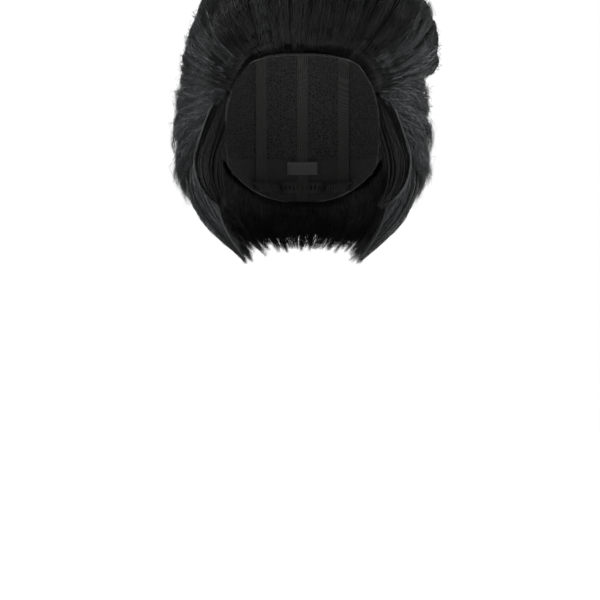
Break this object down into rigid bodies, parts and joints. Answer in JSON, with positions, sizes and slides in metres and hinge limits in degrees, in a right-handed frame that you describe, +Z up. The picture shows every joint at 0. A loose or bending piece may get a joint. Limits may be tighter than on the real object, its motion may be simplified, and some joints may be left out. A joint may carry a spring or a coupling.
{
  "type": "costume wig",
  "caption": "Black costume wig with a swept-up pompadour, feathered sides, long sideburns and a nape that hugs the neck, on an adjustable wefted cap.",
  "frame": {"origin": "inside the head space, on the mid-plane at the level of the ear tabs, where a head form is seated", "axes": "+Z up, the wearer faces -Y, the wearer's left is +X"},
  "size_m": [0.236, 0.2349, 0.2801],
  "materials": {
    "black_fibre": "satin",
    "weft_stitching": "matte",
    "cap_net": "matte",
    "panel_fabric": "matte",
    "cap_tape": "satin",
    "elastic_webbing": "matte",
    "black_plastic": "satin",
    "stay_steel": "brushed",
    "label_satin": "satin"
  },
  "bodies": {
    "cap": {"adjuster_sleeve_left": "cap_tape", "adjuster_sleeve_right": "cap_tape", "back_hair": "black_fibre", "back_weft_row_1": "weft_stitching", "back_weft_row_2": "weft_stitching", "back_weft_row_3": "weft_stitching", "back_weft_row_4": "weft_stitching", "back_weft_row_5": "weft_stitching", "back_weft_row_6": "weft_stitching", "back_weft_row_7": "weft_stitching", "back_weft_row_8": "weft_stitching", "centre_tape": "cap_tape", "cross_tape": "cap_tape", "crown_hair": "black_fibre", "crown_net": "cap_net", "crown_weft_ring_1": "weft_stitching", "crown_weft_ring_2": "weft_stitching", "ducktail_left": "black_fibre", "ducktail_right": "black_fibre", "front_hairline_band": "cap_tape", "front_weft": "weft_stitching", "loop_strip_left": "cap_tape", "loop_strip_right": "cap_tape", "nape_elastic_band": "elastic_webbing", "nape_panel": "panel_fabric", "nape_point_left": "black_fibre", "nape_point_right": "black_fibre", "pompadour_roll": "black_fibre", "pompadour_wing_left": "black_fibre", "pompadour_wing_right": "black_fibre", "side_feathers_left": "black_fibre", "side_feathers_right": "black_fibre", "side_hair_left": "black_fibre", "side_hair_right": "black_fibre", "side_tape_left": "cap_tape", "side_tape_right": "cap_tape", "size_label": "label_satin"},
    "ear_tab_left_body": {"ear_tab_left": "panel_fabric", "ear_stay_left": "stay_steel", "sideburn_left": "black_fibre"},
    "ear_tab_right_body": {"ear_tab_right": "panel_fabric", "ear_stay_right": "stay_steel", "sideburn_right": "black_fibre"},
    "adjuster_left_body": {"adjuster_strap_left": "elastic_webbing", "adjuster_hook_left": "black_plastic"},
    "adjuster_right_body": {"adjuster_strap_right": "elastic_webbing", "adjuster_hook_right": "black_plastic"}
  },
  "joints": [
    {"name": "ear_tab_left_flex", "type": "hinge", "parent": "cap", "child": "ear_tab_left_body", "pos_m": [0.07, -0.034, 0.017], "axis": [0, -1, 0], "range_deg": [-5, 12]},
    {"name": "ear_tab_right_flex", "type": "hinge", "parent": "cap", "child": "ear_tab_right_body", "pos_m": [-0.07, -0.034, 0.017], "axis": [0, 1, 0], "range_deg": [-5, 12]},
    {"name": "adjuster_left_travel", "type": "hinge", "parent": "cap", "child": "adjuster_left_body", "pos_m": [0, 0.031, -0.032], "axis": [0, 0, 1], "range_deg": [0, 16]},
    {"name": "adjuster_right_travel", "type": "hinge", "parent": "cap", "child": "adjuster_right_body", "pos_m": [0, 0.031, -0.032], "axis": [0, 0, -1], "range_deg": [0, 16]}
  ]
}
